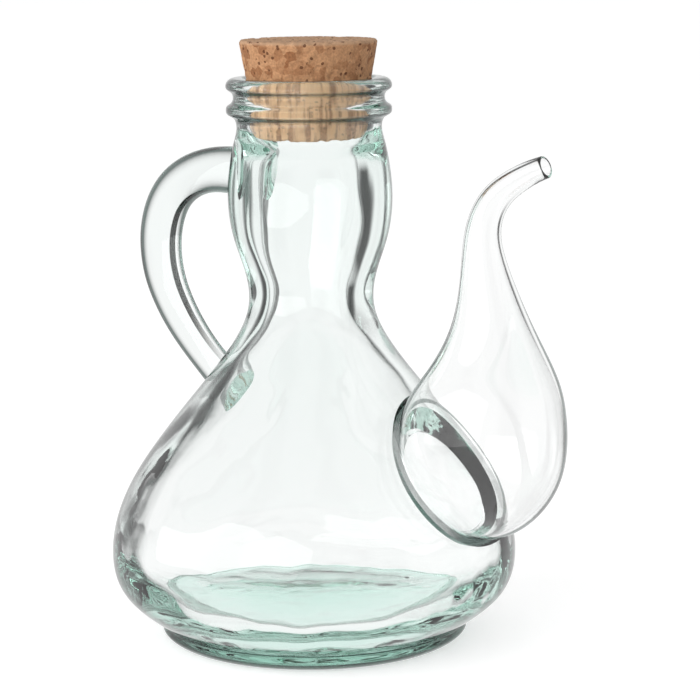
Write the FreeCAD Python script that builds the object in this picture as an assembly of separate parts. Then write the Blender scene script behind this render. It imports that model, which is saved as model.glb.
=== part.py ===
import FreeCAD, Part
import math
import os
from FreeCAD import Vector

# An oil bottle in thick blown glass. A bell-shaped body stands on a pressed foot, and a tapered
# cork closes its ringed mouth. A glass handle loops from the neck to the flank, and opposite it
# a thin blown bulb, welded over a hole in the flank, is drawn out into a pouring tube.
# Millimetres, +Z up, +X towards the spout, origin at the centre of the foot on the resting plane.

# Foot
foot_radius = 46.2
foot_height = 4.8
foot_round = 3.6
foot_groove = 0.7
foot_ring_width = 9.0
punt_height = 3.2

# Body, outside: radius and level of the belly, of the waist and of the bulge in the neck
belly_radius = 61.1
belly_level = 26.0
waist_radius = 18.6
waist_level = 103.0
neck_radius = 24.2
neck_level = 135.5

# Body, inside
floor_level = 11.0
floor_radius = 38.0
belly_wall = 2.8
waist_wall = 7.9
neck_wall = 8.2
choke_radius = 14.5
choke_drop = 5.5
inside_rise = 3.0
neck_inside_drop = 7.0

# Cork, in two tapers: free above the lip and squeezed below it
cork_top_radius = 20.6
cork_lip_radius = 18.7
cork_bottom_radius = 17.0
cork_above_lip = 11.2
cork_below_lip = 18.4
cork_chamfer = 0.5
cork_clearance = 0.15

# Mouth with two glass rings
lip_level = 168.8
lip_wall = 3.55
ring_height = 2.2
ring_half_width = 2.2
ring_pitch = 7.3
collar_drop = 14.3
collar_step = 0.8

# Spout: a bulb, its weld ring on the flank, and the pouring tube
bulb_radius = 24.7
bulb_level = 65.0
bulb_drop = 28.2
bulb_inset = 1.5
throat_radius = 7.2
throat_rise = 48.0
spout_wall = 1.4
weld_height = 3.0
weld_width = 2.0

# The pouring tube as distance out from the bulb's axis, height above the throat and outer radius
tube_route = [
    (0.0, 0.0, throat_radius),
    (-0.3, 8.0, 5.8),
    (0.7, 15.6, 5.1),
    (4.0, 22.4, 4.6),
    (10.2, 27.6, 4.0),
    (19.3, 32.2, 3.4),
]

# Handle: where its loop runs, and half sizes of its oval section in the plane of the loop
handle_top_rise = 3.9
handle_reach = 56.7
handle_reach_drop = 24.4
handle_foot_share = 0.6
handle_bite = 4.0
handle_root_half = 7.6
handle_half = 6.8
handle_foot_half = 5.0
handle_foot_flare = 0.75
handle_flatness = 0.9
handle_steps = 14

# How far each curve of the outlines holds its first and its last direction
underside_pulls = Vector(7.5, 0, 5.5), Vector(0, 0, 12.0)
flank_pulls = Vector(0, 0, 30.2), Vector(0, 0, 18.6)
neck_pulls = Vector(0, 0, 11.3), Vector(0, 0, 19.0)
collar_pulls = Vector(0, 0, 4.5), Vector(-1.2, 0, 4.2)
floor_pulls = Vector(11.0, 0, 0), Vector(0, 0, 10.0)
inner_flank_pulls = Vector(0, 0, 24.0), Vector(0, 0, 24.0)
inner_neck_pulls = Vector(0, 0, 8.0), Vector(0, 0, 8.0)
inner_collar_pulls = Vector(0, 0, 6.0), Vector(0, 0, 6.0)
choke_pulls = Vector(0, 0, 2.5), Vector(0, 0, 2.5)
bulb_pulls = Vector(0, 0, 18.5), Vector(-6.1, 0, 27.6)
handle_upper_pulls = Vector(-29.0, 0, 4.0), Vector(0, 0, -14.0)
handle_lower_pull = 16.0
quarter_round = 0.5523

# How far a hollow runs out past the face that it opens
past = 5.0

seat_level = lip_level - cork_below_lip
mouth_radius = cork_lip_radius + cork_clearance
ring_root_radius = mouth_radius + lip_wall
upper_ring_level = lip_level - ring_half_width
lower_ring_level = upper_ring_level - ring_pitch
bulb_axis = belly_radius - bulb_inset
throat_level = bulb_level + throat_rise


def at(radius, level):
    return Vector(radius, 0, level)


def line(start, end):
    return Part.LineSegment(start, end).toShape()


def arc(start, middle, end):
    return Part.Arc(start, middle, end).toShape()


def bend(start, end, pulls):
    # A smooth curve that leaves start along the first pull and reaches end along the second.
    curve = Part.BezierCurve()
    curve.setPoles([start, start + pulls[0], end - pulls[1], end])
    return curve


def turned(edges, centre=0.0):
    return Part.Face(Part.Wire(edges)).revolve(Vector(centre, 0, 0), Vector(0, 0, 1), 360)


def flank(grow):
    return bend(at(belly_radius + grow, belly_level), at(waist_radius + grow, waist_level), flank_pulls)


def foot_edges():
    inner = foot_radius - foot_ring_width
    sphere = (inner ** 2 + punt_height ** 2) / (2 * punt_height)
    halfway = punt_height - sphere + math.sqrt(sphere ** 2 - (inner / 2) ** 2)
    corner = foot_round * (1 - math.sqrt(0.5))
    rounding = arc(at(foot_radius - foot_round, 0), at(foot_radius - corner, corner),
                   at(foot_radius, foot_round))
    return [
        arc(at(0, punt_height), at(inner / 2, halfway), at(inner, 0)),
        line(at(inner, 0), at(foot_radius - foot_round, 0)),
        rounding,
        line(at(foot_radius, foot_round), at(foot_radius - foot_groove, foot_height)),
    ]


def ring_edge(level):
    return arc(at(ring_root_radius, level - ring_half_width),
               at(ring_root_radius + ring_height, level),
               at(ring_root_radius, level + ring_half_width))


def make_body():
    groove = at(foot_radius - foot_groove, foot_height)
    belly = at(belly_radius, belly_level)
    waist = at(waist_radius, waist_level)
    neck = at(neck_radius, neck_level)
    collar = at(ring_root_radius - collar_step, lip_level - collar_drop)
    edges = foot_edges() + [
        bend(groove, belly, underside_pulls).toShape(),
        flank(0).toShape(),
        bend(waist, neck, neck_pulls).toShape(),
        bend(neck, collar, collar_pulls).toShape(),
        line(collar, at(ring_root_radius, lower_ring_level - ring_half_width)),
        ring_edge(lower_ring_level),
        line(at(ring_root_radius, lower_ring_level + ring_half_width),
             at(ring_root_radius, upper_ring_level - ring_half_width)),
        ring_edge(upper_ring_level),
        line(at(ring_root_radius, lip_level), at(0, lip_level)),
        line(at(0, lip_level), at(0, punt_height)),
    ]
    return turned(edges)


def make_cavity():
    floor_edge = at(floor_radius, floor_level)
    belly = at(belly_radius - belly_wall, belly_level + inside_rise)
    waist = at(waist_radius - waist_wall, waist_level + inside_rise)
    neck = at(neck_radius - neck_wall, neck_level - neck_inside_drop)
    choke = at(choke_radius, seat_level - choke_drop)
    seat = at(cork_bottom_radius + cork_clearance, seat_level - cork_clearance)
    mouth = at(mouth_radius, lip_level)
    edges = [
        line(at(0, floor_level), floor_edge),
        bend(floor_edge, belly, floor_pulls).toShape(),
        bend(belly, waist, inner_flank_pulls).toShape(),
        bend(waist, neck, inner_neck_pulls).toShape(),
        bend(neck, choke, inner_collar_pulls).toShape(),
        bend(choke, seat, choke_pulls).toShape(),
        line(seat, mouth),
        line(mouth, at(mouth_radius, lip_level + past)),
        line(at(mouth_radius, lip_level + past), at(0, lip_level + past)),
        line(at(0, lip_level + past), at(0, floor_level)),
    ]
    return turned(edges)


def make_bulb(grow):
    # The drop-shaped bulb up to the throat of the tube, with its surface moved out by grow.
    radius = bulb_radius + grow
    drop = bulb_drop + grow
    pole = at(bulb_axis, bulb_level - drop)
    side = at(bulb_axis + radius, bulb_level)
    throat = at(bulb_axis + throat_radius + grow, throat_level)
    rounding = at(quarter_round * radius, 0), at(0, quarter_round * drop)
    edges = [
        bend(pole, side, rounding).toShape(),
        bend(side, throat, bulb_pulls).toShape(),
        line(throat, at(bulb_axis, throat_level)),
        line(at(bulb_axis, throat_level), pole),
    ]
    return turned(edges, bulb_axis)


def make_tube(grow, overrun):
    # Circles square to the route, with their radius moved out by grow, run on past the tip.
    stations = [at(bulb_axis + out, throat_level + up) for out, up, radius in tube_route]
    radii = [radius + grow for out, up, radius in tube_route]
    spine = Part.BSplineCurve()
    spine.interpolate(stations)
    directions = [spine.tangent(spine.parameter(point))[0] for point in stations]
    directions[0] = Vector(0, 0, 1)
    circles = [Part.Circle(*station) for station in zip(stations, directions, radii)]
    tube = Part.makeLoft([Part.Wire(circle.toShape()) for circle in circles], True)
    if overrun:
        tube = tube.fuse(Part.makeCylinder(radii[-1], overrun, stations[-1], directions[-1]))
    return tube


def make_weld():
    # The raised ring of glass around the bulb's seat, standing weld_height off the flank.
    belly = belly_radius + weld_height
    waist = waist_radius + weld_height
    edges = [
        flank(weld_height).toShape(),
        line(at(waist, waist_level), at(0, waist_level)),
        line(at(0, waist_level), at(0, 0)),
        line(at(0, 0), at(belly, 0)),
        line(at(belly, 0), at(belly, belly_level)),
    ]
    return turned(edges).common(make_bulb(weld_width))


def handle_thickness(share):
    # Half the handle's thickness at a share of its way from the neck to the flank.
    table = [(0.0, handle_root_half), (0.14, handle_half), (0.5, handle_half),
             (0.88, handle_foot_half), (1.0, handle_foot_half + handle_foot_flare)]
    for (low, first), (high, second) in zip(table, table[1:]):
        if share <= high:
            return first + (second - first) * (share - low) / (high - low)


def oval(centre, direction, half):
    # The handle's section square to its route, flattened along Y.
    side = direction.cross(Vector(0, 1, 0)).normalize()
    flat = Vector(0, half * handle_flatness, 0)
    return Part.Wire(Part.Ellipse(centre + side * half, centre + flat, centre).toShape())


def make_handle():
    surface = flank(0)
    foot = surface.value(handle_foot_share)
    slope = surface.tangent(handle_foot_share)[0]
    inward = at(slope.z, slope.x)
    foot = at(-foot.x, foot.z) + inward * handle_bite
    top_level = neck_level + handle_top_rise
    root = at(handle_bite - neck_radius, top_level)
    reach = at(-handle_reach, top_level - handle_reach_drop)
    lower_pulls = at(0, -handle_lower_pull), inward * handle_lower_pull
    halves = bend(root, reach, handle_upper_pulls), bend(reach, foot, lower_pulls)
    sections = []
    for step in range(handle_steps + 1):
        share = step / handle_steps
        curve = halves[0] if share < 0.5 else halves[1]
        place = 2 * share if share < 0.5 else 2 * share - 1
        sections.append(oval(curve.value(place), curve.tangent(place)[0], handle_thickness(share)))
    return Part.makeLoft(sections, True)


def make_glass():
    outside = make_body().fuse([make_bulb(0), make_tube(0, 0), make_weld(), make_handle()])
    hollow = make_cavity().fuse([make_bulb(-spout_wall), make_tube(-spout_wall, past)])
    return outside.cut(hollow).removeSplitter()


def make_cork():
    top = lip_level + cork_above_lip
    edges = [
        line(at(0, seat_level), at(cork_bottom_radius - cork_chamfer, seat_level)),
        line(at(cork_bottom_radius - cork_chamfer, seat_level),
             at(cork_bottom_radius, seat_level + cork_chamfer)),
        line(at(cork_bottom_radius, seat_level + cork_chamfer), at(cork_lip_radius, lip_level)),
        line(at(cork_lip_radius, lip_level), at(cork_top_radius, top - cork_chamfer)),
        line(at(cork_top_radius, top - cork_chamfer), at(cork_top_radius - cork_chamfer, top)),
        line(at(cork_top_radius - cork_chamfer, top), at(0, top)),
        line(at(0, top), at(0, seat_level)),
    ]
    return turned(edges)


os.makedirs("parts", exist_ok=True)
for name, shape in (("bottle_glass", make_glass()), ("cork", make_cork())):
    print(name, "solids", len(shape.Solids), "valid", shape.isValid(), "ml", round(shape.Volume / 1000, 1))
    shape.exportStep("parts/" + name + ".step")
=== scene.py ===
import math
import bpy
import bmesh
from mathutils import Matrix, Vector, noise


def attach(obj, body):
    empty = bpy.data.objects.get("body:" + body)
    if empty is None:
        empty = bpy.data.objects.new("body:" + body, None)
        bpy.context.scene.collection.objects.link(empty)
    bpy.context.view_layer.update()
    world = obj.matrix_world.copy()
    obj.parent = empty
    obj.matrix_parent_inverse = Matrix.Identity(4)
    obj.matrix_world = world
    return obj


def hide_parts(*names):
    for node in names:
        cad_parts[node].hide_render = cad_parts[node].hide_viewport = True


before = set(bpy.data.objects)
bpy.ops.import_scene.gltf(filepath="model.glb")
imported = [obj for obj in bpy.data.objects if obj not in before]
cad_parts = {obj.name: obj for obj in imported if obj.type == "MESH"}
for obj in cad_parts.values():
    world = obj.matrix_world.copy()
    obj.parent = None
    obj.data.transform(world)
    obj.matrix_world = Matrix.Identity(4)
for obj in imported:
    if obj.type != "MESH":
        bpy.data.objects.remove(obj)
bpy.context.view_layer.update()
print("frame loaded")

mm = 0.001
mergeGap = 0.00001


# Tools for shaping and for materials

def pieceFrom(bm, name):
    shape = bpy.data.meshes.new(name)
    bm.to_mesh(shape)
    bm.free()
    piece = bpy.data.objects.new(name, shape)
    bpy.context.scene.collection.objects.link(piece)
    return piece


def closeUp(bm):
    bmesh.ops.remove_doubles(bm, verts=bm.verts, dist=mergeGap)
    bmesh.ops.recalc_face_normals(bm, faces=bm.faces)


def settle(piece):
    # the modifiers' result becomes the piece's own mesh
    depsgraph = bpy.context.evaluated_depsgraph_get()
    finished = bpy.data.meshes.new_from_object(piece.evaluated_get(depsgraph))
    piece.modifiers.clear()
    piece.data = finished
    finished.name = piece.name


def rounded(piece, levels):
    smoother = piece.modifiers.new("Subdivision", "SUBSURF")
    smoother.levels = smoother.render_levels = levels
    settle(piece)


def drawLine(bm, outline):
    # a chain of joined vertices in the XZ plane
    points = [bm.verts.new((r * mm, 0, z * mm)) for r, z in outline]
    for first, second in zip(points, points[1:]):
        bm.edges.new((first, second))
    return points


def spinRound(bm, steps):
    bmesh.ops.spin(bm, geom=bm.verts[:] + bm.edges[:], cent=(0, 0, 0), axis=(0, 0, 1), dvec=(0, 0, 0),
                   angle=2 * math.pi, steps=steps, use_merge=True)


def ringSpread(steps):
    # a subdivided ring shrinks a little, so it starts this much wider
    return 3 / (2 + math.cos(2 * math.pi / steps))


def turnOnLathe(outline, steps):
    bm = bmesh.new()
    drawLine(bm, outline)
    spinRound(bm, steps)
    spread = ringSpread(steps)
    bmesh.ops.scale(bm, vec=(spread, spread, 1), verts=bm.verts)
    closeUp(bm)
    return bm


def across(place, direction, half, flat=1.0):
    # takes a unit ring in the XY plane to an oval square to its route
    forward = Vector(direction).normalized()
    side = Vector((0, 1, 0))
    out = side.cross(forward).normalized()
    turn = Matrix((out, side, forward)).transposed().to_4x4()
    size = Matrix.Diagonal((half * mm, half * flat * mm, mm, 1))
    return Matrix.Translation(Vector(place) * mm) @ turn @ size


def routeFrames(stations, flat=1.0):
    # each station is (x, z, half width), and looks from its neighbour before to the one after
    frames = []
    for number, (x, z, half) in enumerate(stations):
        before = stations[max(number - 1, 0)]
        after = stations[min(number + 1, len(stations) - 1)]
        frames.append(across((x, 0, z), (after[0] - before[0], 0, after[1] - before[1]), half, flat))
    return frames


def pullAlong(bm, edges, frames):
    # draws the open ring of edges out through the frames and closes its end
    for start, end in zip(frames, frames[1:]):
        drawn = bmesh.ops.extrude_edge_only(bm, edges=edges)["geom"]
        edges = [part for part in drawn if isinstance(part, bmesh.types.BMEdge)]
        verts = [part for part in drawn if isinstance(part, bmesh.types.BMVert)]
        bmesh.ops.transform(bm, matrix=end @ start.inverted(), verts=verts)
    bmesh.ops.edgeloop_fill(bm, edges=edges)


def shareBetween(value, low, high):
    return min(1, max(0, (value - low) / (high - low)))


def unevenness(piece, waves, low, high):
    # hand-made glass: each wave is (depth in mm, length in mm across, length in mm up, seed), and
    # the waves come in between the two low levels and fade between the two high ones
    bm = bmesh.new()
    bm.from_mesh(piece.data)
    bm.normal_update()
    moves = []
    for vert in bm.verts:
        z = vert.co.z / mm
        share = shareBetween(z, *low) * min(1, max(0, (high[1] - z) / (high[1] - high[0])))
        total = 0
        for depth, wide, tall, seed in waves:
            # each seed reads another part of the noise
            spot = Vector((vert.co.x / mm / wide, vert.co.y / mm / wide, z / tall + seed * 17.3))
            total += depth * noise.noise(spot + Vector((seed * 5.1, seed * 3.7, 0)))
        moves.append(vert.normal * total * share * mm)
    for vert, move in zip(bm.verts, moves):
        vert.co += move
    bm.to_mesh(piece.data)
    bm.free()


def join(piece, others, how):
    for other in others:
        step = piece.modifiers.new(how, "BOOLEAN")
        step.operation = how
        step.solver = "EXACT"
        step.material_mode = "TRANSFER"
        step.object = other
    settle(piece)
    for other in others:
        bpy.data.objects.remove(other)


def tidyCuts(piece):
    # a point with only two edges folds into a flake when its faces are split into triangles
    bm = bmesh.new()
    bm.from_mesh(piece.data)
    spare = [vert for vert in bm.verts if len(vert.link_edges) == 2]
    bmesh.ops.dissolve_verts(bm, verts=spare)
    bm.to_mesh(piece.data)
    bm.free()
    print("spare points dissolved", len(spare))


def calc(tree, operation, *values, clamp=False):
    # a Math node fed by numbers or by other nodes' outputs
    node = tree.nodes.new("ShaderNodeMath")
    node.operation = operation
    node.use_clamp = clamp
    for socket, value in zip(node.inputs, values):
        if isinstance(value, (int, float)):
            socket.default_value = value
        else:
            tree.links.new(value, socket)
    return node.outputs[0]


def easedRange(tree, value, low, high, toLow=0, toHigh=1):
    node = tree.nodes.new("ShaderNodeMapRange")
    node.interpolation_type = "SMOOTHSTEP"
    tree.links.new(value, node.inputs["Value"])
    for name, number in (("From Min", low), ("From Max", high), ("To Min", toLow), ("To Max", toHigh)):
        if isinstance(number, (int, float)):
            node.inputs[name].default_value = number
        else:
            tree.links.new(number, node.inputs[name])
    return node.outputs[0]


def mixColour(tree, share, below, above, blend="MIX"):
    # the colours are fixed tuples or other nodes' outputs
    node = tree.nodes.new("ShaderNodeMix")
    node.data_type = "RGBA"
    node.blend_type = blend
    for socket, value in zip((node.inputs[0], node.inputs[6], node.inputs[7]), (share, below, above)):
        if isinstance(value, (int, float)):
            socket.default_value = value
        elif isinstance(value, tuple):
            socket.default_value = (*value, 1)
        else:
            tree.links.new(value, socket)
    return node.outputs[2]


def mixShaders(tree, share, below, above):
    node = tree.nodes.new("ShaderNodeMixShader")
    for socket, value in zip(node.inputs, (share, below, above)):
        tree.links.new(value, socket)
    return node.outputs[0]


def newMaterial(name):
    # an empty material with its output node
    look = bpy.data.materials.new(name)
    look.use_nodes = True
    tree = look.node_tree
    tree.nodes.clear()
    return look, tree, tree.nodes.new("ShaderNodeOutputMaterial")


# Camera

camera = {
    "place": (0.4367, -0.6236, 0.2150),
    "aim": (0.00938, 0.00657, 0.0870),
    "roll": 0.54,
    "lens": 132.2,
    "sensor": 36,
    "clip": (0.01, 50),
}


def setCamera():
    lens = bpy.data.cameras.new("camera")
    lens.lens = camera["lens"]
    lens.sensor_width = camera["sensor"]
    lens.clip_start, lens.clip_end = camera["clip"]
    eye = bpy.data.objects.new("camera", lens)
    bpy.context.scene.collection.objects.link(eye)
    eye.location = camera["place"]
    look = (Vector(camera["aim"]) - Vector(camera["place"])).to_track_quat("-Z", "Y").to_matrix()
    eye.rotation_euler = (look @ Matrix.Rotation(math.radians(-camera["roll"]), 3, "Z")).to_euler()
    bpy.context.scene.camera = eye


setCamera()
print("camera set")

# Glass body, in millimetres as (radius, level)

body = {
    "steps": 48,
    "levels": 2,
    "outside": [(0, 3.2), (14.3, 2.9), (26.7, 1.6), (34.7, 0.4), (38.5, 0), (42.5, 0), (45.5, 1.6),
                (46.9, 3.7), (44.4, 4.6), (49.2, 7.3), (53.4, 10.4), (57.7, 14.3), (60.5, 19.5),
                (61.3, 25.8), (60.6, 33.1), (58.2, 41.1), (53.8, 49.8), (47.6, 59), (39.8, 69),
                (32.2, 78.2), (25.6, 86.6), (19.9, 95.5), (18.1, 103), (19.3, 110.4), (21.4, 116.3),
                (23.5, 122.6), (24.6, 130.4), (24.5, 137.4), (23.8, 142.8), (22.8, 149), (21.2, 153.6),
                (21.9, 156.6), (22.9, 157.3), (24.6, 158.2), (24.6, 159.3), (24.6, 160.6), (22.8, 161.3),
                (22.3, 163), (22.8, 164.6), (24.6, 165.4), (24.7, 166.6), (24.4, 167.7), (23, 168.8),
                (21.5, 168.8), (12, 168.8), (0, 168.8)],
    "inside": [(0, 11), (13.1, 11), (25.5, 11), (34.8, 11), (39.1, 11.2), (45.7, 12.4), (51.2, 14.8),
               (55.7, 19.5), (57.8, 24.6), (58.7, 29), (57.4, 36.3), (53.6, 43.9), (48.2, 51.7),
               (41.7, 59.4), (34.3, 67.9), (28.2, 74.2), (22.6, 81.6), (17.9, 88.5), (15, 93.3),
               (12.1, 98.3), (10.7, 103.4), (10.7, 107.5), (11.8, 112), (13.2, 116.5), (14.5, 121),
               (15.3, 126), (15.5, 131), (15.3, 136.5), (15, 142), (15.6, 146), (16.7, 148.6),
               (17.2, 150.4), (17.4, 153.9), (17.9, 158.7), (18.3, 163.1), (18.5, 166.8), (19.2, 168.5),
               (20.4, 168.9), (21, 170.5), (21, 176), (12, 176), (0, 176)],
    # sets of waves, with the levels where they come in and fade
    "outsideWaves": [([(0.2, 26, 60, 1), (0.05, 9, 30, 2)], (5, 14), (146, 154))],
    # the wall, then the ripples of the floor, then the streaks in the mouth
    "insideWaves": [([(0.9, 24, 34, 3), (0.22, 9, 16, 4), (0.06, 4, 9, 5)], (9, 10), (144, 150)),
                    ([(0.5, 11, 40, 6), (0.3, 5, 40, 7)], (0, 1), (11.5, 14)),
                    ([(0.05, 2.2, 60, 8)], (150, 151), (166, 168))],
}


def makeBody():
    piece = pieceFrom(turnOnLathe(body["outside"], body["steps"]), "glassBottle")
    rounded(piece, body["levels"])
    for waves, low, high in body["outsideWaves"]:
        unevenness(piece, waves, low, high)
    return piece


def makeHollow():
    piece = pieceFrom(turnOnLathe(body["inside"], body["steps"]), "hollow")
    rounded(piece, body["levels"])
    for waves, low, high in body["insideWaves"]:
        unevenness(piece, waves, low, high)
    return piece


# Spout: a drop-shaped bulb drawn out into a tube, and the weld round its seat

spout = {
    "axis": 59.6,
    "level": 65,
    "wall": 1.1,
    "tipWall": 0.6,
    "steps": 24,
    "levels": 2,
    "drop": [(0, -28.2), (8, -27.3), (14.8, -23.1), (20.2, -16.9), (23.8, -9.2), (24.9, 0.3), (24.1, 8),
             (22.1, 14.5), (18.9, 20.5), (15.1, 27.2), (10.9, 36), (7.7, 47)],
    # from this radius outwards the drop's wall is at its full thickness
    "fullWall": 12,
    # how far the drop leans out at each of its upper levels
    "lean": [(0.3, 0), (8, 0.4), (14.5, 1.6), (20.5, 3.0), (27.2, 3.7), (36, 3.4), (47, 1.7)],
    "tube": [(1.7, 47, 7.7), (0, 56, 5.9), (0.3, 63.6, 5.1), (3.6, 70.8, 4.6), (9.2, 75.5, 4.0),
             (16, 79.2, 3.55), (20.5, 80.8, 3.3)],
    # the last ring of the glass, close to the end, keeps the tip nearly square
    "tipRing": (0.6, 0.23),
    # the hollow runs on past the tip, this far and in this direction
    "overrun": 6,
    "tipWay": (0.92, 0.38),
    "weldHeight": 3,
    "weldWidth": 1.6,
    # the weld follows these points of the body's outside, above its flat underside
    "weldSpan": (13, 23),
    "weldLow": 20,
    "weldHigh": 103,
    "weldMiddle": 30,
}


def makeDrop(name, grow, overrun):
    # a lathe shape with an open top, whose top ring is then drawn along the tube
    bm = bmesh.new()
    widest = max(spout["drop"])[0]
    scale = (widest + grow) / widest
    outline = [(r + grow * min(1, r / spout["fullWall"]), z * scale) for r, z in spout["drop"]]
    drawLine(bm, outline)
    spinRound(bm, spout["steps"])
    bmesh.ops.remove_doubles(bm, verts=bm.verts, dist=mergeGap)
    top = max(vert.co.z for vert in bm.verts)
    ring = [edge for edge in bm.edges
            if edge.is_boundary and all(vert.co.z > top - mergeGap for vert in edge.verts)]
    stations = [(x, z, half + grow) for x, z, half in spout["tube"]]
    if overrun:
        x, z, half = spout["tube"][-1]
        half -= spout["tipWall"]
        along, up = spout["tipWay"]
        stations[-1] = (x, z, half)
        stations.append((x + overrun * along, z + overrun * up, half))
    else:
        x, z, half = stations[-1]
        stations.append((x + spout["tipRing"][0], z + spout["tipRing"][1], half))
    spread = ringSpread(spout["steps"])
    bmesh.ops.scale(bm, vec=(spread, spread, 1), verts=bm.verts)
    for level, push in spout["lean"]:
        lean = [vert for vert in bm.verts if abs(vert.co.z / mm - level * scale) < 0.01]
        bmesh.ops.translate(bm, vec=(push * mm, 0, 0), verts=lean)
    frames = routeFrames(stations)
    frames[0] = across((stations[0][0], 0, top / mm), (0, 0, 1), outline[-1][0] * spread)
    pullAlong(bm, ring, frames)
    bmesh.ops.translate(bm, vec=(spout["axis"] * mm, 0, spout["level"] * mm), verts=bm.verts)
    closeUp(bm)
    piece = pieceFrom(bm, name)
    rounded(piece, spout["levels"])
    return piece


def makeWeld():
    first, last = spout["weldSpan"]
    low = spout["weldLow"]
    outline = [(r + spout["weldHeight"], z) for r, z in body["outside"][first:last]]
    under = [(0, low), (spout["weldMiddle"], low), (outline[0][0], low)]
    outline = under + outline + [(0, spout["weldHigh"])]
    piece = pieceFrom(turnOnLathe(outline, body["steps"]), "weld")
    rounded(piece, 1)
    collar = makeDrop("collar", spout["weldWidth"], 0)
    join(marked(piece, "weld"), [marked(collar, "seam")], "INTERSECT")
    return piece


# Handle: its route in the XZ plane with half the section's width

handle = {
    "sides": 16,
    "levels": 2,
    "flat": 0.9,
    "route": [(-17, 139.2, 7.9), (-20.2, 139.4, 7.8), (-33.7, 140.5, 7.2), (-43, 138.3, 7),
              (-49.7, 134.2, 7), (-54, 128.6, 7), (-56.3, 121.9, 7), (-57, 115.3, 6.9), (-56, 107, 6.7),
              (-52.9, 99.5, 6.3), (-48.4, 92.2, 6), (-42.9, 85.5, 5.6), (-36.7, 79.3, 5.5),
              (-30.5, 74, 6), (-28, 72, 6.3)],
}


def makeHandle():
    bm = bmesh.new()
    frames = routeFrames(handle["route"], handle["flat"])
    bmesh.ops.create_circle(bm, cap_ends=False, segments=handle["sides"], radius=1)
    bmesh.ops.transform(bm, matrix=frames[0], verts=bm.verts)
    first = bm.edges[:]
    pullAlong(bm, first, frames)
    bmesh.ops.edgeloop_fill(bm, edges=first)
    closeUp(bm)
    piece = pieceFrom(bm, "handle")
    rounded(piece, handle["levels"])
    return piece


# Glass

glassLook = {
    "refraction": 1.52,
    "tint": (0.9, 0.945, 0.93),
    "strength": 62,
    # the colour of the painted dark rim shade
    "rim": (0.012, 0.022, 0.019),
    # the darker teal of the foot and inner floor: the glass's own colour with painted shade of the ground
    # beneath
    "foot": (0.55, 0.82, 0.73),
    # where the painted dark rim shade begins and is full, from 0 face on to 1 edge on; the weld and its seam
    # begin below 0, so they are painted darker even face on
    "rims": {"wall": (0.6, 0.9), "spout": (0.68, 0.755), "bore": (0.8, 0.97), "rod": (0.22, 0.5),
             "weld": (-0.6, 0.3), "seam": (-0.5, 0.5)},
    # the same further up, and the levels between which it changes
    "rimsAbove": {"wall": (0.42, 0.8, 154, 157), "spout": (0.66, 0.92, 96, 112), "bore": (1.5, 2, 110, 130)},
    # the mouth's rings are above this level, and their undersides face down at least this much
    "ringUnderside": (0.1, 0.6),
    "ringLevel": 155,
    "ringTurn": -0.25,
    "footEnds": (0.05, 0.5),
    "footTop": 5.2,
    # the inner floor is deepest in colour at its middle, with the glass's teal and painted shade; it faces
    # up and lies below this level
    "floorTint": 0.75,
    "floorReach": 37,
    "floorTurn": 0.8,
    "floorTop": 12.4,
    # edges sharper than this many degrees aren't smoothed
    "sharp": 50,
}


def marked(piece, kind):
    # a stand-in material tells the kinds of glass surface apart through the joining
    marker = bpy.data.materials.get(kind + "Marker") or bpy.data.materials.new(kind + "Marker")
    piece.data.materials.clear()
    piece.data.materials.append(marker)
    return piece


def makeGlassMaterial():
    look, tree, out = newMaterial("recycledGlass")
    shader = tree.nodes.new("ShaderNodeBsdfPrincipled")
    shader.inputs["Roughness"].default_value = 0
    shader.inputs["IOR"].default_value = glassLook["refraction"]
    shader.inputs["Transmission Weight"].default_value = 1
    # painted shade: dark rims where the glass turns away, standing in for the dark edges real glass shows
    # against a lit backdrop
    finish = tree.nodes.new("ShaderNodeAttribute")
    finish.attribute_name = "finish"
    ranges = tree.nodes.new("ShaderNodeSeparateColor")
    tree.links.new(finish.outputs["Color"], ranges.inputs[0])
    facing = tree.nodes.new("ShaderNodeLayerWeight")
    facing.inputs["Blend"].default_value = 0.5
    rim = easedRange(tree, facing.outputs["Facing"], ranges.outputs[0], ranges.outputs[1])
    side = tree.nodes.new("ShaderNodeNewGeometry")
    outer = calc(tree, "MULTIPLY", rim, calc(tree, "SUBTRACT", 1, side.outputs["Backfacing"]))
    # the foot and the inner floor's middle take the darker teal: the glass's colour with painted shade
    baseShaded = mixColour(tree, ranges.outputs[2], (1, 1, 1), glassLook["foot"])
    tree.links.new(mixColour(tree, outer, baseShaded, glassLook["rim"]), shader.inputs["Base Color"])
    tint = tree.nodes.new("ShaderNodeVolumeAbsorption")
    tint.inputs["Color"].default_value = (*glassLook["tint"], 1)
    tint.inputs["Density"].default_value = glassLook["strength"]
    tree.links.new(shader.outputs[0], out.inputs["Surface"])
    tree.links.new(tint.outputs[0], out.inputs["Volume"])
    return look


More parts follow.
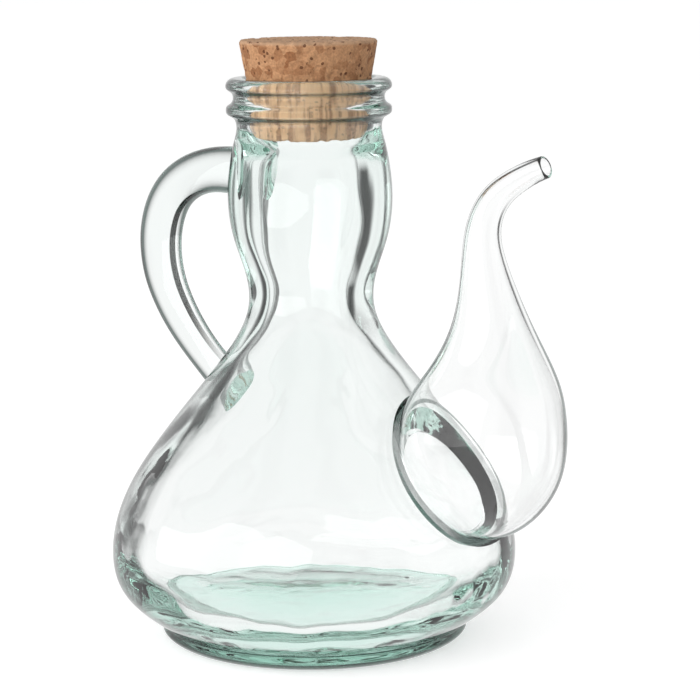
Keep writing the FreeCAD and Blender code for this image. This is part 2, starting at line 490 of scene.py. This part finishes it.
def markPaintedShade(piece):
    # each face keeps where its painted rim shade begins and is full, and how much of the darker teal with
    # painted shade it takes
    kinds = [material.name.replace("Marker", "") for material in piece.data.materials]
    finish = piece.data.attributes.new("finish", "FLOAT_COLOR", "FACE")
    for face, mark in zip(piece.data.polygons, finish.data):
        kind = kinds[face.material_index]
        level = face.center.z / mm
        rim = glassLook["rims"][kind]
        if kind in glassLook["rimsAbove"]:
            start, full, low, high = glassLook["rimsAbove"][kind]
            share = shareBetween(level, low, high)
            rim = (rim[0] + (start - rim[0]) * share, rim[1] + (full - rim[1]) * share)
        if kind == "wall" and level > glassLook["ringLevel"] and face.normal.z < glassLook["ringTurn"]:
            rim = glassLook["ringUnderside"]
        tint = 0.0
        # the foot takes painted rim shade from nearly face on, and the full darker teal with painted shade
        if level < glassLook["footTop"]:
            rim = glassLook["footEnds"]
            tint = 1.0
        # the inner floor's middle takes the darker teal with painted shade, less towards its edge
        elif kind == "wall" and face.normal.z > glassLook["floorTurn"] and level < glassLook["floorTop"]:
            outward = math.hypot(face.center.x, face.center.y) / mm / glassLook["floorReach"]
            tint = glassLook["floorTint"] * max(0, 1 - outward ** 3)
        mark.color = (*rim, tint, 1)
        face.material_index = 0


glass = marked(makeBody(), "wall")
print("body turned")
join(glass, [makeWeld(), marked(makeDrop("drop", 0, 0), "spout"), marked(makeHandle(), "rod")], "UNION")
print("spout and handle joined")
hollows = [marked(makeHollow(), "wall"),
           marked(makeDrop("dropHollow", -spout["wall"], spout["overrun"]), "bore")]
join(glass, hollows, "DIFFERENCE")
tidyCuts(glass)
print("hollow cut", len(glass.data.polygons), [slot.name for slot in glass.data.materials])
markPaintedShade(glass)
markers = glass.data.materials[:]
glass.data.materials.clear()
glass.data.materials.append(makeGlassMaterial())
for marker in markers:
    bpy.data.materials.remove(marker)
glass.data.shade_smooth()
glass.data.set_sharp_from_angle(angle=math.radians(glassLook["sharp"]))
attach(glass, "root")
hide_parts("bottle_glass")

# Cork, in millimetres as (radius, level): two tapers with small bevels

cork = {
    "outline": [(0, 150.5), (16.3, 150.5), (16.9, 151.1), (18.6, 168.8), (20.45, 179.2), (19.9, 179.9),
                (0, 179.9)],
    "cuts": [26, 1, 30, 18, 1, 30],
    "steps": 220,
    # the granules' size in mm, how far they are bent out of shape, and the seams between them
    "grain": 2.4,
    "bend": 0.35,
    "bendScale": 1.7,
    "seamDepth": 0.16,
    "seamWidth": 0.16,
    # granules that have fallen out, and small holes besides
    "pitDepth": 0.55,
    "pitEdge": 0.3,
    "pitShare": 0.16,
    "holeSize": 0.9,
    "holeLimit": 0.25,
    "holeDepth": 0.6,
    # without a seed the granules would be bent another way at each run
    "seed": 7,
    "pale": (0.5, 0.265, 0.135),
    "brown": (0.28, 0.118, 0.05),
    "speck": (0.1, 0.036, 0.016),
    "brownRange": (0.05, 0.6),
    "warpScale": 700,
    "warp": 0.0007,
    "mottleScale": 1500,
    "mottling": 0.55,
    "speckScale": 820,
    "speckRare": 0.84,
    "speckSize": 0.42,
    # how strongly specks show, and how much weaker they are where the glass presses
    "speckShare": 0.85,
    "speckLoss": -0.5,
    # the cut top is paler, between these levels and by this much
    "dust": (0.66, 0.47, 0.32),
    "dustRange": (0.1785, 0.1795, 0, 0.4),
    # what the glass presses smooth, below the seat, is paler too, in upright streaks, and these streaks are
    # also painted light for the brighter cork seen through the neck
    "pressed": (1.0, 0.66, 0.37),
    "seat": (0.1672, 0.1686),
    "streakScale": 620,
    "streakStretch": (1, 1, 0.06),
    "streakRange": (0.36, 0.58, 0.2, 1),
    "roughness": 0.82,
    "shine": 0.3,
    "reliefStrength": 0.5,
    "reliefDepth": 0.0003,
}


def makeCork():
    bm = bmesh.new()
    chain = drawLine(bm, cork["outline"])
    edges = [bm.edges.get(pair) for pair in zip(chain, chain[1:])]
    for edge, cuts in zip(edges, cork["cuts"]):
        bmesh.ops.subdivide_edges(bm, edges=[edge], cuts=cuts)
    spinRound(bm, cork["steps"])
    closeUp(bm)
    bm.normal_update()
    noise.seed_set(cork["seed"])
    # granules pressed together: fine seams between them, and here and there one has fallen out
    moves = []
    for vert in bm.verts:
        spot = vert.co / (cork["grain"] * mm)
        spot += cork["bend"] * noise.noise_vector(spot * cork["bendScale"])
        distances, centres = noise.voronoi(spot, distance_metric="DISTANCE")
        inwards = distances[1] - distances[0]
        seam = max(0, 1 - inwards / cork["seamWidth"])
        # each granule's own number, from -1 to 1, says whether it is lost
        lost = noise.cell(centres[0] * 7.1) < cork["pitShare"] * 2 - 1
        pit = min(1, inwards / cork["pitEdge"]) if lost else 0
        hole = max(0, noise.noise(vert.co / (cork["holeSize"] * mm)) - cork["holeLimit"])
        depth = cork["seamDepth"] * seam + cork["pitDepth"] * (pit + cork["holeDepth"] * hole)
        moves.append(-vert.normal * depth * mm)
    for vert, move in zip(bm.verts, moves):
        vert.co += move
    return pieceFrom(bm, "corkStopper")


def noiseNode(tree, kind, scale, place):
    node = tree.nodes.new(kind)
    node.inputs["Scale"].default_value = scale
    tree.links.new(place, node.inputs["Vector"])
    return node


def makeCorkMaterial():
    look, tree, out = newMaterial("pressedCork")
    shader = tree.nodes.new("ShaderNodeBsdfPrincipled")
    shader.inputs["Roughness"].default_value = cork["roughness"]
    shader.inputs["Specular IOR Level"].default_value = cork["shine"]
    tree.links.new(shader.outputs[0], out.inputs["Surface"])
    place = tree.nodes.new("ShaderNodeTexCoord").outputs["Object"]
    warp = noiseNode(tree, "ShaderNodeTexNoise", cork["warpScale"], place)
    shift = tree.nodes.new("ShaderNodeVectorMath")
    shift.operation = "MULTIPLY_ADD"
    tree.links.new(warp.outputs["Color"], shift.inputs[0])
    shift.inputs[1].default_value = (cork["warp"],) * 3
    tree.links.new(place, shift.inputs[2])
    # granules of several browns
    granules = noiseNode(tree, "ShaderNodeTexVoronoi", 1 / (cork["grain"] * mm), shift.outputs[0])
    browns = tree.nodes.new("ShaderNodeValToRGB")
    for element, tone, position in zip(browns.color_ramp.elements, ("brown", "pale"), cork["brownRange"]):
        element.color = (*cork[tone], 1)
        element.position = position
    tree.links.new(granules.outputs["Color"], browns.inputs["Fac"])
    # fine mottling inside each granule
    mottle = noiseNode(tree, "ShaderNodeTexNoise", cork["mottleScale"], place)
    mottle.inputs["Detail"].default_value = 4
    mottled = mixColour(tree, cork["mottling"], browns.outputs["Color"], mottle.outputs["Fac"], "OVERLAY")
    # dark bark specks
    specks = noiseNode(tree, "ShaderNodeTexVoronoi", cork["speckScale"], shift.outputs[0])
    pick = tree.nodes.new("ShaderNodeSeparateColor")
    tree.links.new(specks.outputs["Color"], pick.inputs[0])
    chosen = calc(tree, "GREATER_THAN", pick.outputs[0], cork["speckRare"])
    near = calc(tree, "LESS_THAN", specks.outputs["Distance"], cork["speckSize"])
    # upright streaks below the seat: partly cork the glass presses, partly painted light
    stretch = tree.nodes.new("ShaderNodeMapping")
    stretch.inputs["Scale"].default_value = cork["streakStretch"]
    tree.links.new(place, stretch.inputs["Vector"])
    streaks = noiseNode(tree, "ShaderNodeTexNoise", cork["streakScale"], stretch.outputs[0])
    streaks.inputs["Detail"].default_value = 2
    split = tree.nodes.new("ShaderNodeSeparateXYZ")
    tree.links.new(place, split.inputs[0])
    seated = easedRange(tree, split.outputs["Z"], *cork["seat"], 1, 0)
    paintedLightStreaks = calc(tree, "MULTIPLY", seated, easedRange(tree, streaks.outputs["Fac"], *cork["streakRange"]))
    pressed = mixColour(tree, paintedLightStreaks, mottled, cork["pressed"])
    dusting = easedRange(tree, split.outputs["Z"], *cork["dustRange"])
    dusty = mixColour(tree, dusting, pressed, cork["dust"])
    strength = calc(tree, "MULTIPLY_ADD", seated, cork["speckLoss"], cork["speckShare"])
    share = calc(tree, "MULTIPLY", calc(tree, "MULTIPLY", chosen, near), strength)
    tree.links.new(mixColour(tree, share, dusty, cork["speck"]), shader.inputs["Base Color"])
    # a dry, slightly open surface
    relief = tree.nodes.new("ShaderNodeBump")
    relief.inputs["Strength"].default_value = cork["reliefStrength"]
    relief.inputs["Distance"].default_value = cork["reliefDepth"]
    tree.links.new(mottle.outputs["Fac"], relief.inputs["Height"])
    tree.links.new(relief.outputs[0], shader.inputs["Normal"])
    return look


stopper = makeCork()
stopper.data.materials.append(makeCorkMaterial())
stopper.data.shade_smooth()
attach(stopper, "root")
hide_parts("cork")
print("cork made")

# Floor and light

studio = {
    "lightLevel": 0.55,
    "windows": 4,
    "turn": -112.5,
    "gapDark": 0.02,
    "gapStart": -0.86,
    "gapEnd": -0.78,
    "mirrored": (0.1, 0.9, 1.0, 0.5),
    "mirroredDark": 0.04,
    "mirroredStart": -0.95,
    "mirroredEnd": 0.1,
    "mirroredOutside": 0.92,
    "floorFade": (0.1, 0.4),
}


def ringWave(tree, split):
    # from -1 in the gaps between the studio's windows to 1 in the middle of each window
    angle = calc(tree, "ARCTAN2", split.outputs["Y"], split.outputs["X"])
    shifted = calc(tree, "ADD", angle, math.radians(studio["turn"]))
    return calc(tree, "COSINE", calc(tree, "MULTIPLY", shifted, studio["windows"]))


def seenClear(tree):
    # 1 for rays from the camera, and for those that glass or gloss passes on
    path = tree.nodes.new("ShaderNodeLightPath").outputs
    direct = calc(tree, "ADD", path["Is Camera Ray"], path["Is Glossy Ray"], clamp=True)
    return calc(tree, "ADD", direct, path["Is Transmission Ray"], clamp=True)


def studioLight(tree, split, dimming=None):
    # what glass and gloss pass on of the studio: windows with dark gaps between them
    wave = ringWave(tree, split)
    soft = easedRange(tree, wave, studio["gapStart"], studio["gapEnd"], studio["gapDark"])
    # what a wall throws back is softer and has wider gaps
    banded = easedRange(tree, wave, studio["mirroredStart"], studio["mirroredEnd"], studio["mirroredDark"])
    if dimming is not None:
        banded = calc(tree, "MULTIPLY", banded, dimming)
    path = tree.nodes.new("ShaderNodeLightPath").outputs
    thrownBack = calc(tree, "GREATER_THAN", path["Glossy Depth"], 0.5)
    choose = tree.nodes.new("ShaderNodeMix")
    tree.links.new(thrownBack, choose.inputs["Factor"])
    tree.links.new(soft, choose.inputs["A"])
    tree.links.new(banded, choose.inputs["B"])
    # what a whole face mirrors is plain: dimmer outside and pale inside
    oneWall = calc(tree, "COMPARE", path["Transmission Depth"], 1.5, 1.1)
    faceMirror = calc(tree, "MULTIPLY", thrownBack, calc(tree, "SUBTRACT", 1, oneWall))
    inside = calc(tree, "GREATER_THAN", path["Transmission Depth"], 1.5)
    final = tree.nodes.new("ShaderNodeMix")
    tree.links.new(faceMirror, final.inputs["Factor"])
    tree.links.new(choose.outputs["Result"], final.inputs["A"])
    tree.links.new(calc(tree, "MAXIMUM", inside, studio["mirroredOutside"]), final.inputs["B"])
    return final.outputs["Result"]


floorLook = {
    "size": 6,
    "colour": (0.92, 0.92, 0.92),
    "lift": 0.5,
}


def makeFloor():
    bm = bmesh.new()
    bmesh.ops.create_grid(bm, x_segments=1, y_segments=1, size=floorLook["size"])
    floor = pieceFrom(bm, "floor")
    look, tree, out = newMaterial("paleFloor")
    paint = tree.nodes.new("ShaderNodeBsdfDiffuse")
    paint.inputs["Color"].default_value = (*floorLook["colour"], 1)
    lift = tree.nodes.new("ShaderNodeEmission")
    lift.inputs["Strength"].default_value = floorLook["lift"]
    # seen through glass it is plain white, with the studio's gaps further out
    plain = tree.nodes.new("ShaderNodeEmission")
    split = tree.nodes.new("ShaderNodeSeparateXYZ")
    place = tree.nodes.new("ShaderNodeTexCoord").outputs["Object"]
    tree.links.new(place, split.inputs[0])
    light = studioLight(tree, split)
    reach = tree.nodes.new("ShaderNodeVectorMath")
    reach.operation = "LENGTH"
    tree.links.new(place, reach.inputs[0])
    far = easedRange(tree, reach.outputs["Value"], *studio["floorFade"])
    darkness = calc(tree, "MULTIPLY", far, calc(tree, "SUBTRACT", 1, light))
    tree.links.new(calc(tree, "SUBTRACT", 1, darkness), plain.inputs["Strength"])
    lifted = tree.nodes.new("ShaderNodeAddShader")
    tree.links.new(paint.outputs[0], lifted.inputs[0])
    tree.links.new(lift.outputs[0], lifted.inputs[1])
    path = tree.nodes.new("ShaderNodeLightPath").outputs
    throughGlass = calc(tree, "ADD", path["Is Glossy Ray"], path["Is Transmission Ray"], clamp=True)
    fromCamera = mixShaders(tree, path["Is Camera Ray"], paint.outputs[0], lifted.outputs[0])
    fromGlass = mixShaders(tree, throughGlass, fromCamera, plain.outputs[0])
    tree.links.new(fromGlass, out.inputs["Surface"])
    floor.data.materials.append(look)


def makeWorld():
    world = bpy.data.worlds.new("studio")
    bpy.context.scene.world = world
    world.use_nodes = True
    tree = world.node_tree
    tree.nodes.clear()
    out = tree.nodes.new("ShaderNodeOutputWorld")
    sky = tree.nodes.new("ShaderNodeBackground")
    ring = tree.nodes.new("ShaderNodeBackground")
    backdrop = tree.nodes.new("ShaderNodeBackground")
    sky.inputs["Strength"].default_value = studio["lightLevel"]
    for light in (sky, ring, backdrop):
        light.inputs["Color"].default_value = (1, 1, 1, 1)
    # a ring of soft windows with dark gaps, which glass and gloss pass on
    split = tree.nodes.new("ShaderNodeSeparateXYZ")
    tree.links.new(tree.nodes.new("ShaderNodeTexCoord").outputs["Generated"], split.inputs[0])
    overhead = easedRange(tree, split.outputs["Z"], *studio["mirrored"])
    tree.links.new(studioLight(tree, split, overhead), ring.inputs["Strength"])
    path = tree.nodes.new("ShaderNodeLightPath").outputs
    lit = mixShaders(tree, seenClear(tree), sky.outputs[0], ring.outputs[0])
    behind = mixShaders(tree, path["Is Camera Ray"], lit, backdrop.outputs[0])
    tree.links.new(behind, out.inputs["Surface"])


lamps = {
    "side window": {"turn": -104, "height": 0.4, "away": 0.95, "size": (1.8, 0.9), "power": 9.5,
                    "aim": (0, 0, 0.1)},
}


def makeLamps():
    for name, spec in lamps.items():
        lamp = bpy.data.lights.new(name, "AREA")
        lamp.shape = "RECTANGLE"
        lamp.size, lamp.size_y = spec["size"]
        lamp.energy = spec["power"]
        holder = bpy.data.objects.new(name, lamp)
        bpy.context.scene.collection.objects.link(holder)
        holder.visible_camera = holder.visible_glossy = False
        turn = math.radians(spec["turn"])
        holder.location = (spec["away"] * math.cos(turn), spec["away"] * math.sin(turn), spec["height"])
        look = Vector(spec["aim"]) - holder.location
        holder.rotation_euler = look.to_track_quat("-Z", "Y").to_euler()


makeFloor()
makeWorld()
makeLamps()
scene = bpy.context.scene
scene.view_settings.view_transform = "Standard"
# thick glass passes light back and forth many times
scene.cycles.max_bounces = 24
scene.cycles.transmission_bounces = 24
scene.cycles.glossy_bounces = 16
print("studio ready")
